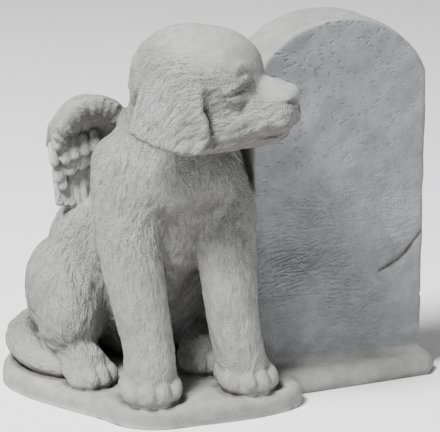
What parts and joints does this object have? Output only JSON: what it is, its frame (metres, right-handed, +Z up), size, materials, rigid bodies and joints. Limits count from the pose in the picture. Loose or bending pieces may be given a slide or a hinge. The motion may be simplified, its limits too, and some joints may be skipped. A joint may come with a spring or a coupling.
{
  "type": "pet memorial statue",
  "caption": "Garden memorial in cast stone: a sitting winged puppy looks towards a blank arched headstone, on one low uneven base.",
  "frame": {"origin": "middle of the statue's box, at the underside of the base", "axes": "+X from the puppy towards the headstone, -Y the way the puppy and the headstone's face look, +Z up"},
  "size_m": [0.3534, 0.2262, 0.314],
  "materials": {
    "cast_stone": "dry matt cast stone, light grey, slightly mottled"
  },
  "bodies": {
    "root": {"memorial_statue": "cast_stone"}
  },
  "joints": []
}
